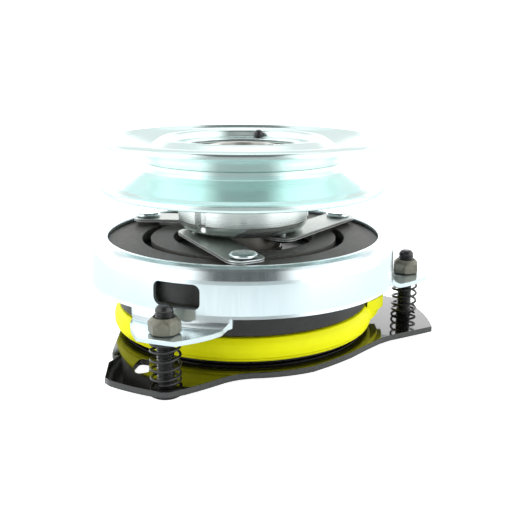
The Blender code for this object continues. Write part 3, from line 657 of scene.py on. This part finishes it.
def stud(number, centre, turn):
    """Hexagon head under the plate, helical thread, rounded plain end."""
    def head(degrees):
        return hex_radius(degrees, turn)

    shapes = [
        constant(5.9, STUD_FOOT),
        lambda degrees: (min(head(degrees), HEAD_CHAMFER), STUD_FOOT),
        lambda degrees: (head(degrees),
                         STUD_FOOT + max(0.0, head(degrees) - HEAD_CHAMFER) * 0.6),
        lambda degrees: (head(degrees), -0.42),
        lambda degrees: (head(degrees) - 0.1, -0.3),
        constant(4.35, -0.3), constant(4.0, -0.1), constant(4.0, 4.0)]
    z = THREAD_START
    while z < THREAD_END:
        shapes.append(thread_row(z))
        z += THREAD_PITCH / THREAD_ROWS
    shapes += [constant(*point) for point in STUD_POINT]
    mesh = bmesh.new()
    rings = [add_ring(mesh, 48, shape, centre) for shape in shapes]
    skin(mesh, rings)
    cap_ends(mesh, rings)
    finish("brake_stud_%d" % number, mesh, BLACK_STEEL, sharp=34.0)


COIL_RADIUS = 6.5       # to the middle of the wire
WIRE = 0.65             # wire radius
COIL_TURNS, STEPS_PER_TURN, WIRE_SIDES = 5.5, 40, 14
COIL_BOTTOM, COIL_TOP = 3.4 + WIRE, 23.6 - WIRE
END_TURNS = 0.9         # turns closed up at each end
END_PITCH = 2 * WIRE + 0.35


def coil_height(turns):
    if turns < END_TURNS:
        return COIL_BOTTOM + END_PITCH * turns
    if turns > COIL_TURNS - END_TURNS:
        return COIL_TOP - END_PITCH * (COIL_TURNS - turns)
    part = (turns - END_TURNS) / (COIL_TURNS - 2 * END_TURNS)
    rise = COIL_TOP - COIL_BOTTOM - 2 * END_PITCH * END_TURNS
    return COIL_BOTTOM + END_PITCH * END_TURNS + rise * part


def spring(number, centre, start):
    """Closed-ended coil, its wire swept square to its path."""
    def angle(turns):
        return 2 * math.pi * turns + math.radians(start)

    def middle(turns):
        return Vector((centre[0] + COIL_RADIUS * math.cos(angle(turns)),
                       centre[1] + COIL_RADIUS * math.sin(angle(turns)),
                       coil_height(turns)))

    mesh = bmesh.new()
    rings = []
    steps = int(COIL_TURNS * STEPS_PER_TURN)
    for k in range(steps + 1):
        turns = COIL_TURNS * k / steps
        along = (middle(min(COIL_TURNS, turns + 0.004))
                 - middle(max(0.0, turns - 0.004))).normalized()
        outward = Vector((math.cos(angle(turns)), math.sin(angle(turns)), 0.0))
        outward = (outward - along * outward.dot(along)).normalized()
        upward = along.cross(outward)
        radius = WIRE * 0.82 if k in (0, steps) else WIRE
        ring = []
        for j in range(WIRE_SIDES):
            around = 2 * math.pi * j / WIRE_SIDES
            offset = (outward * math.cos(around) + upward * math.sin(around)) * radius
            ring.append(mesh.verts.new(place(*(middle(turns) + offset))))
        rings.append(ring)
    skin(mesh, rings)
    cap_ends(mesh, rings)
    piece = finish("brake_spring_%d" % number, mesh, BLACK_STEEL, sharp=50.0, bends=True)
    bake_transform(piece)


NUT_FOOT, NUT_TOP = 26.5, 33.8
# radius, height over the collar and down into the bore
NUT_COLLAR = [(5.4, 33.50), (5.24, 33.66), (5.08, 33.76), (4.9, NUT_TOP), (4.72, 33.74),
              (4.58, 33.6), (4.45, 33.3)]


def lock_nut(number, centre, turn):
    """Chamfered hexagon with a rounded collar on top and an open bore."""
    def cone(radius):
        return NUT_TOP - (radius - 5.15) * 1.10

    def foot(radius):
        return NUT_FOOT + max(0.0, radius - 6.3) * 0.45

    def hexagon(inset, surface, lift, chamfer_inset=0.0):
        """A ring in from the hexagon, at a surface's height plus lift."""
        def shape(degrees):
            radius = hex_radius(degrees, turn)
            return radius - inset, surface(radius - chamfer_inset) + lift
        return shape

    shapes = [
        constant(4.45, 27.0), constant(4.9, NUT_FOOT), constant(6.3, NUT_FOOT),
        hexagon(0.12, foot, 0.02),
        hexagon(0.0, foot, 0.14),
        hexagon(0.0, cone, -0.16),
        hexagon(0.06, cone, -0.02),
        hexagon(0.18, cone, 0.0, chamfer_inset=0.18),
        constant(5.75, cone(5.75))]
    shapes += [constant(*point) for point in NUT_COLLAR]
    mesh = bmesh.new()
    skin(mesh, [add_ring(mesh, 144, shape, centre) for shape in shapes], closed=True)
    finish("lock_nut_%d" % number, mesh, PHOSPHATE, sharp=24.0)


NUT_TURNS = (15.8, 39.8, 0.0)   # each nut's turn from its stud's head
for n in range(3):
    stud(n + 1, STUDS[n], STUD_ANGLES[n])
for n in range(3):
    spring(n + 1, STUDS[n], STUD_ANGLES[n])
for n in range(3):
    lock_nut(n + 1, STUDS[n], STUD_ANGLES[n] + NUT_TURNS[n])

# =============================================================== brake shell
# radius, height, rounding: down the outside, along the foot flange, up the inside
SHELL_PROFILE = [
    (70.8, 52.8, 0.7), (73.2, 52.8, 1.6), (75.6, 52.1, 1.2), (76.6, 51.0, 2.0),
    (77.5, 49.5, 3.0), (78.8, 47.2, 1.2), (78.95, 45.6, 1.0), (79.6, 31.6, 3.0),
    (80.2, 28.2, 3.4), (83.4, 26.2, 3.0), (100.8, 26.2, 0.35), (100.8, 24.0, 0.35),
    (83.0, 24.0, 3.0), (78.5, 26.8, 3.4), (77.55, 31.4, 3.0), (76.2, 44.8, 1.2),
    (75.9, 48.6, 3.0), (74.9, 50.65, 1.8), (70.8, 50.65, 0.7)]
# across, outward: one side of the ear at each stud
EAR_SIDE = [
    (25.2, 60.0), (25.2, 75.6), (23.6, 77.0), (22.6, 79.0), (22.1, 81.6), (19.8, 86.6),
    (16.6, 91.6), (12.6, 96.2), (10.6, 98.6), (9.0, 100.1), (6.5, 102.0)]
# across, height, rounding of the window over each stud
WINDOW = [(-12.1, 34.2, 4.2), (-2.0, 33.5, 2.0), (10.9, 34.0, 2.6), (10.9, 45.2, 3.4),
          (-12.1, 45.2, 3.0)]


def ear_gap(angle):
    """What is cut from the flange between the ear at an angle and the next."""
    following = angle + 120.0
    outline = [local(angle, across, outward) for across, outward in EAR_SIDE]
    outline += [local(angle, 22.0, 118.0), polar(130.0, angle + 60.0),
                local(following, -22.0, 118.0)]
    outline += [local(following, -across, outward) for across, outward in reversed(EAR_SIDE)]
    return prism([(x, y, 18.0) for x, y in outline], [(x, y, 30.2) for x, y in outline])


def window(angle):
    outline = soften(WINDOW, steps=10)
    inside, outside = [[(*local(angle, across, radius), z) for across, z in outline]
                       for radius in (72.0, 84.0)]
    mesh = prism(inside, outside)
    bmesh.ops.recalc_face_normals(mesh, faces=mesh.faces)
    return mesh


shell_cuts = [ear_gap(angle) for angle in STUD_ANGLES]
shell_cuts += [window(angle) for angle in STUD_ANGLES]
shell_cuts += [plug(4.6, 20.0, 30.0, 40, centre) for centre in STUDS]
finish("brake_shell", cut(turned(soften(SHELL_PROFILE, steps=7), SEGMENTS), shell_cuts),
       SHELL_ZINC, sharp=36.0, flats=True)

# ============================================================= rotor and hub
# radius, height, rounding
ROTOR_PROFILE = [
    (20.6, 43.8, 0.2), (54.2, 43.8, 0.2), (54.2, 41.8, 0.2), (60.8, 41.8, 0.2),
    (60.8, 43.8, 0.2), (74.6, 43.8, 0.7), (74.6, 33.4, 0.5), (72.0, 33.4, 0.3),
    (72.0, 37.8, 0.6), (66.3, 37.4, 0.6), (66.3, 17.3, 0.6), (61.9, 17.3, 0.4),
    (61.9, 37.8, 0.3), (20.6, 37.8, 0.2)]
HUB_PROFILE = [
    (12.7, 1.0, 0.5), (17.45, 1.0, 0.5), (17.45, 22.6, 0.1), (20.2, 22.6, 0.4),
    (20.2, 45.5, 0.3), (19.8, 45.5, 0.1), (19.8, 59.2, 0.3), (17.45, 59.2, 0.1),
    (17.45, 95.95, 0.1), (16.4, 95.95, 0.1), (16.4, 97.25, 0.1), (17.45, 97.25, 0.1),
    (17.45, 98.0, 0.35), (12.7, 98.0, 0.6)]
KEYWAY_HALF = 3.175

rotor_slots = []
for start in thirds(30.0):
    slot = arc(45.6, start, start + 96.0, 40) + arc(41.6, start + 96.0, start, 40)
    rotor_slots.append(flat_plate([slot], 30.0, 50.0, bevel=0.05))
finish("rotor", cut(turned(soften(ROTOR_PROFILE, steps=4), SEGMENTS), rotor_slots),
       ROTOR_STEEL, sharp=34.0, flats=True)
revolve("friction_lining", rectangle(54.5, 60.5, 42.1, 43.8), LINING, 0.25)

keyway = flat_plate([rectangle(8.0, 15.9, -KEYWAY_HALF, KEYWAY_HALF)], -5.0, 105.0, bevel=0.05)
finish("rotor_hub", cut(turned(soften(HUB_PROFILE, steps=3), CORE_SEGMENTS), [keyway]),
       HUB_STEEL, sharp=34.0)


# ======================================================= bearings, seals, rings
def core_ring(node, corners, rounding, material):
    revolve(node, corners, material, rounding, CORE_SEGMENTS)


def bearing(name, bottom):
    top = bottom + BEARING_WIDTH
    middle = bottom + BEARING_WIDTH / 2
    core_ring(name + "_inner_race", rectangle(BEARING_BORE, 22.0, bottom, top),
              0.6, BEARING_STEEL)
    core_ring(name + "_outer_race", rectangle(26.9, BEARING_OUTSIDE, bottom, top),
              0.6, BEARING_STEEL)
    core_ring(name + "_ball_cage", rectangle(23.0, 25.9, middle - 3.2, middle + 3.2),
              1.2, BRASS)


core_ring("hub_snap_ring", rectangle(16.75, 20.6, 96.15, 97.05), 0.25, BLACK_STEEL)
core_ring("bearing_spacer", rectangle(BEARING_BORE, 20.6, 73.8, 81.4), 0.3, BARE_STEEL)
bearing("field_bearing", bottom=8.3)
bearing("pulley_bearing_lower", bottom=59.5)
bearing("pulley_bearing_upper", bottom=81.7)
# dished on top
core_ring("bearing_seal_top", [
    (22.4, 94.6), (26.55, 94.6), (26.55, 95.5), (25.2, 95.5), (24.9, 95.1), (23.4, 95.1),
    (23.1, 95.5), (22.4, 95.5)], 0.15, RUBBER)
core_ring("bearing_seal_bottom", rectangle(22.4, 26.55, 59.8, 60.7), 0.2, RUBBER)
core_ring("field_snap_ring", rectangle(28.2, 30.95, 22.7, 24.0), 0.3, BLACK_STEEL)

# ================================================================== armature
SLOT_INNER, SLOT_MIDDLE, SLOT_OUTER = 48.7, 50.9, 53.1
SLOT_END = 2.1          # radius of a slot's round ends


def armature_slot(angle):
    """A curved slot with round ends, starting just past an angle."""
    first, last = angle + 2.5, angle + 106.5

    def round_end(degrees, side):
        turns = [math.radians(turn) for turn in range(15, 180, 15)]
        return [local(degrees, side * SLOT_END * math.sin(turn),
                      SLOT_MIDDLE + side * SLOT_END * math.cos(turn)) for turn in turns]

    return (arc(SLOT_OUTER, first, last, 48) + round_end(last, 1)
            + arc(SLOT_INNER, last, first, 48) + round_end(first, -1))


armature_outlines = [circle(74.6, segments=SEGMENTS), circle(36.8, segments=CORE_SEGMENTS)]
armature_outlines += [armature_slot(angle) for angle in LEAF_ANGLES]
armature_outlines += [circle(RIVET_HOLE, centre, 24) for centre in ARMATURE_RIVETS]
finish("armature", flat_plate(armature_outlines, 44.3, 50.3, bevel=0.45),
       ARMATURE_STEEL, sharp=50.0, flats=True)
for n, centre in enumerate(ARMATURE_RIVETS, 1):
    boss_profile = soften(rectangle(RIVET_HOLE, 6.2, 50.2, 52.3), rounding=0.3, steps=4)
    finish("armature", turned(boss_profile, 64, centre), ARMATURE_STEEL, sharp=40.0,
           name="look_armature_boss_%d" % n)

# radius, height, rounding: domed head, then shank
ARMATURE_RIVET = [
    (0.0, 56.62, 0.0), (3.0, 56.7, 3.0), (5.5, 56.6, 0.9), (6.5, 55.85, 0.6),
    (6.5, 54.73, 0.25), (3.0, 54.73, 0.1), (3.0, 44.7, 0.3), (0.0, 44.7, 0.0)]
for n, centre in enumerate(ARMATURE_RIVETS, 1):
    revolve("armature_rivet_%d" % n, ARMATURE_RIVET, RIVET_ZINC, segments=72, centre=centre)

# ============================================================== leaf springs
LEAF_HALF_WIDTH = 9.0
LEAF_THICKNESS = 0.7
OUTER_LAP, INNER_LAP = 7.2, 8.0     # how far a leaf runs past its rivets


def leaf_pair(number, outer, inner):
    """Two stacked leaves from the pulley's rivet out to the armature's."""
    outer, inner = Vector(outer), Vector(inner)
    along = (outer - inner).normalized()
    side = Vector((-along.y, along.x)) * LEAF_HALF_WIDTH
    outer_end = outer + along * OUTER_LAP
    inner_end = inner - along * INNER_LAP
    outline = soften([(*(outer_end + side), 5.0), (*(inner_end + side), 7.0),
                      (*(inner_end - side), 7.0), (*(outer_end - side), 6.8)], steps=10)
    holes = [circle(RIVET_HOLE, tuple(outer), 32), circle(3.0, tuple(inner), 32)]
    for level, z in (("lower", 52.6), ("upper", 53.6)):
        leaf = flat_plate([outline] + holes, z, z + LEAF_THICKNESS, bevel=0.10)
        hub_clearance = plug(21.4, z - 2.0, z + 3.0, CORE_SEGMENTS)
        piece = finish("leaf_spring_%s_%d" % (level, number), cut(leaf, [hub_clearance]),
                       LEAF_STEEL, sharp=40.0, flats=True, bends=True)
        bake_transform(piece)


for n in range(3):
    leaf_pair(n + 1, ARMATURE_RIVETS[n], LEAF_RIVETS[n])

# ==================================================================== pulley
# rolled rim of the upper flange
RIM_RADIUS, RIM_CENTRE, RIM_HEIGHT = 2.35, 69.85, 99.75
RIM = [(RIM_CENTRE + RIM_RADIUS * math.cos(math.radians(turn)),
        RIM_HEIGHT + RIM_RADIUS * math.sin(math.radians(turn)), 0.0)
       for turn in range(70, -12, -8)]
# radius, height, rounding: outward over the top, back underneath
UPPER_FLANGE = [
    (30.3, 98.2, 0.5), (38.4, 98.2, 1.0), (39.4, 101.6, 1.5), (41.2, 102.5, 1.5),
    (43.0, 101.8, 2.5), (53.6, 94.9, 4.0), (66.4, 100.9, 3.0), (67.8, 102.8, 0.9),
    (69.2, 102.5, 1.0), *RIM, (71.3, 98.95, 0.8), (69.4, 98.5, 3.0), (52.3, 91.25, 0.3),
    (50.8, 91.25, 0.2), (51.2, 94.0, 1.6), (42.2, 99.9, 1.4), (40.6, 96.2, 1.2),
    (30.3, 96.2, 0.5)]
LOWER_FLANGE = [
    (34.8, 91.1, 0.4), (52.1, 91.1, 0.35), (52.6, 89.4, 1.2), (53.7, 87.5, 1.6),
    (56.0, 85.9, 2.0), (69.2, 80.7, 2.0), (71.0, 79.3, 0.8), (72.6, 79.0, 0.35),
    (73.0, 77.6, 0.0), (72.6, 76.1, 0.7), (70.6, 76.2, 1.2), (68.4, 78.2, 3.0),
    (53.2, 84.2, 3.0), (50.4, 86.2, 1.5), (50.1, 88.6, 0.8), (49.2, 89.0, 0.5),
    (34.8, 89.0, 0.4)]
HOUSING = [
    (31.3, 95.9, 0.3), (40.2, 95.9, 0.3), (40.2, 93.9, 0.3), (34.2, 93.7, 0.8),
    (34.2, 86.0, 0.0), (34.2, 74.0, 0.0), (34.2, 61.0, 2.4), (33.7, 58.6, 4.0),
    (31.7, 56.4, 4.0), (28.4, 54.95, 3.0), (20.6, 54.7, 0.4), (20.6, 56.8, 0.4),
    (28.7, 56.9, 1.5), (31.3, 59.2, 1.5)]
GROOVE_ANGLES = thirds(231.0)
GROOVE_DEPTH = 2.6


def grooved(radius, z, degrees):
    """Presses three upright channels into the housing's outer wall."""
    if radius < 31.25:
        return radius
    gap = min(abs((degrees - angle + 180.0) % 360.0 - 180.0) for angle in GROOVE_ANGLES)
    across = 1.0 - smooth_step(gap, 2.4, 6.2)
    along = smooth_step(z, 55.6, 59.8) * (1.0 - smooth_step(z, 85.5, 87.5))
    return radius - GROOVE_DEPTH * across * along * smooth_step(radius, 31.2, 33.0)


revolve("pulley_upper_flange", UPPER_FLANGE, PULLEY_ZINC, steps=9, sharp=50.0)
revolve("pulley_lower_flange", LOWER_FLANGE, PULLEY_ZINC, steps=9, sharp=50.0)
revolve("bearing_housing", HOUSING, BARE_STEEL, segments=240, steps=8, sharp=50.0,
        press=grooved)

# radius, height, rounding: head, then shank
revolve("pulley_rivet_1", [
    (0.0, 102.7, 0.0), (1.7, 102.3, 1.6), (2.75, 101.0, 1.2), (2.9, 99.9, 0.8),
    (2.9, 98.55, 0.2), (1.4, 98.55, 0.1), (1.4, 94.6, 0.2), (0.0, 94.6, 0.0),
], BLACK_STEEL, segments=48, centre=polar(35.4, 76.0))
# head, shank, and a wider foot
LEAF_RIVET = [
    (0.0, 58.6, 0.0), (2.9, 58.6, 0.4), (2.9, 57.4, 0.1), (2.3, 57.4, 0.1),
    (2.3, 52.3, 0.1), (4.6, 52.3, 0.3), (4.3, 50.8, 0.6), (3.4, 50.6, 0.6),
    (0.0, 50.6, 0.0)]
for n, centre in enumerate(LEAF_RIVETS, 1):
    revolve("leaf_rivet_%d" % n, LEAF_RIVET, RIVET_ZINC, segments=48, centre=centre)

# ================================================= CAD nodes shown as they are
CARRIED = {
    "coil_bobbin": NYLON, "coil_winding": COPPER, "coil_potting": RESIN,
    "connector_insert": NYLON, "terminal_pin_lower": BRASS, "terminal_pin_upper": BRASS,
}
for node, material in CARRIED.items():
    NODES[node].data.materials.clear()
    NODES[node].data.materials.append(material)


# ===================================================== studio floor (metres)
def floor_paper():
    """Pale paper, burnt out to the camera; to other rays paper with painted shade far out in
    front, and to mirrors also painted pools of light.
    """
    material, tree, shader = new_material("studio_floor_paper")
    position = tree.coordinates()
    x, y, _ = tree.split(position)
    off_front = tree.math("ABSOLUTE", tree.degrees_from_front(x, y))
    distance = tree.length(x, y)
    far = tree.ramp(distance, over=(0.30, 0.42))
    # painted shade: the paper darker far out in front
    painted_front_shade = tree.times(far, tree.ramp(off_front, over=(40.0, 26.0)))
    paper = tree.mix(tree.noise(position, scale=3.0), (0.66, 0.70, 0.71), (0.69, 0.73, 0.74))
    tree.put(shader.inputs["Base Color"], tree.mix(painted_front_shade, paper, (0.30, 0.33, 0.33)))
    shader.inputs["Roughness"].default_value = 0.9
    shader.inputs["Specular IOR Level"].default_value = 0.1
    # reflections see bright pools far out on both sides, and a faint glow close in
    path = tree.new("ShaderNodeLightPath").outputs
    pool = tree.times(tree.times(far, tree.ramp(off_front, over=(36.0, 46.0))),
                      tree.ramp(off_front, over=(118.0, 96.0)))
    close_glow = tree.ramp(distance, over=(0.30, 0.40), to=(0.09, 0.0))
    reflected = tree.plus(tree.times(pool, 1.3), close_glow)
    glow = tree.new("ShaderNodeEmission")
    tree.put(glow.inputs["Color"], (1.0, 1.0, 1.0, 1.0))
    tree.put(glow.inputs["Strength"],
             tree.plus(tree.times(path["Is Camera Ray"], 0.95),
                       tree.times(path["Is Glossy Ray"], reflected)))
    both = tree.new("ShaderNodeAddShader")
    tree.put(both.inputs[0], shader.outputs[0])
    tree.put(both.inputs[1], glow.outputs[0])
    tree.put(tree.surface, both.outputs[0])
    return material


def studio_floor():
    lines = [-3.0, -1.2, -0.5, 0.0, 0.5, 1.2, 3.0]
    floor_z = height(STUD_FOOT) - 0.0002
    mesh = bmesh.new()
    grid = [[mesh.verts.new((x, y, floor_z)) for y in lines] for x in lines]
    for low, high in zip(grid, grid[1:]):
        for j in range(len(lines) - 1):
            mesh.faces.new((low[j], high[j], high[j + 1], low[j + 1]))
    floor = new_object(mesh, "studio_floor")
    floor.data.materials.append(floor_paper())


studio_floor()


# ===================================================================== world
def light_tent():
    """White walls all round; angles are degrees, azimuth 0 towards the camera's side."""
    world = bpy.data.worlds.new("studio")
    scene.world = world
    world.use_nodes = True
    tree = Tree(world.node_tree, "ShaderNodeOutputWorld")
    background = tree.new("ShaderNodeBackground")
    tree.put(tree.surface, background.outputs[0])
    x, y, z = tree.split(tree.coordinates("Generated"))
    azimuth = tree.math("ABSOLUTE", tree.degrees_from_front(x, y))
    elevation = tree.times(tree.math("ARCSINE", z), 180.0 / math.pi)
    # brighter overhead
    level = tree.ramp(elevation, over=(48.0, 76.0), to=(0.86, 1.9))
    # a tall soft box on each side
    boxes = tree.times(
        tree.times(tree.ramp(azimuth, over=(34.0, 52.0)), tree.ramp(azimuth, over=(122.0, 96.0))),
        tree.times(tree.ramp(elevation, over=(-1.0, 9.0)),
                   tree.ramp(elevation, over=(56.0, 38.0))))
    level = tree.plus(level, tree.times(boxes, 1.0))
    # the wall behind the clutch is brightest, near the ground
    back = tree.times(tree.ramp(azimuth, over=(104.0, 140.0)),
                      tree.ramp(elevation, over=(30.0, 14.0)))
    level = tree.plus(level, tree.times(back, 1.4))
    # the room in front is darker near the ground
    front = tree.times(tree.ramp(azimuth, over=(38.0, 26.0)),
                       tree.ramp(elevation, over=(34.0, 26.0)))
    level = tree.times(level, tree.ramp(front, over=(0.0, 1.0), to=(1.0, 0.52), kind="LINEAR"))
    # dark opening above the camera; tilt is 0 ahead and 90 overhead
    tilt = tree.degrees_from_front(z, y)
    opening = tree.times(
        tree.ramp(tree.math("ABSOLUTE", x), over=(0.50, 0.33)),
        tree.times(tree.ramp(tilt, over=(28.0, 36.0)), tree.ramp(tilt, over=(108.0, 94.0))))
    level = tree.times(level, tree.ramp(opening, over=(0.0, 1.0), to=(1.0, 0.05), kind="LINEAR"))
    # stronger as a diffuse light, and burnt out to the camera
    path = tree.new("ShaderNodeLightPath").outputs
    level = tree.times(level, tree.plus(tree.times(path["Is Diffuse Ray"], 0.42), 1.0))
    level = tree.plus(level, tree.times(path["Is Camera Ray"], 3.0))
    tree.put(background.inputs["Color"], (1.0, 1.0, 1.0, 1.0))
    tree.put(background.inputs["Strength"], level)


light_tent()


# ========================================================== light and camera
def overhead_light():
    """A large soft box above and a little behind the clutch, unseen in reflections."""
    position, target = Vector((0.0, 0.25, 1.1)), Vector((0.0, 0.05, 0.0))
    light = bpy.data.lights.new("overhead_soft_box", "AREA")
    light.shape = "RECTANGLE"
    light.size, light.size_y = 1.6, 1.2
    light.energy = 4.0
    lamp = bpy.data.objects.new("overhead_soft_box", light)
    scene.collection.objects.link(lamp)
    lamp.location = position
    lamp.rotation_euler = (target - position).to_track_quat("-Z", "Y").to_euler()
    lamp.visible_glossy = False


# radians: down from level, from +Y towards +X, and about the line of sight
PITCH, YAW, ROLL = 0.260301944249985, 0.025995258193169196, 0.005107770116405094
CAMERA_Y = -0.40374974721420733     # metres
CAMERA_HEIGHT = 142.419333545425474


def add_camera():
    data = bpy.data.cameras.new("camera")
    data.sensor_width = 36.0
    data.lens = 53.2400883504
    data.clip_start = 0.01
    camera = bpy.data.objects.new("camera", data)
    scene.collection.objects.link(camera)
    level_right = Vector((math.cos(YAW), -math.sin(YAW), 0.0))
    ahead = Vector((math.cos(PITCH) * math.sin(YAW), math.cos(PITCH) * math.cos(YAW),
                    -math.sin(PITCH)))
    level_up = Vector((math.sin(PITCH) * math.sin(YAW), math.sin(PITCH) * math.cos(YAW),
                       math.cos(PITCH)))
    right = level_right * math.cos(ROLL) + level_up * math.sin(ROLL)
    up = level_up * math.cos(ROLL) - level_right * math.sin(ROLL)
    camera.matrix_world = Matrix((
        (right.x, up.x, -ahead.x, 0.0),
        (right.y, up.y, -ahead.y, CAMERA_Y),
        (right.z, up.z, -ahead.z, height(CAMERA_HEIGHT)),
        (0.0, 0.0, 0.0, 1.0)))
    scene.camera = camera


overhead_light()
add_camera()
scene.view_settings.view_transform = "Standard"
scene.view_settings.look = "None"
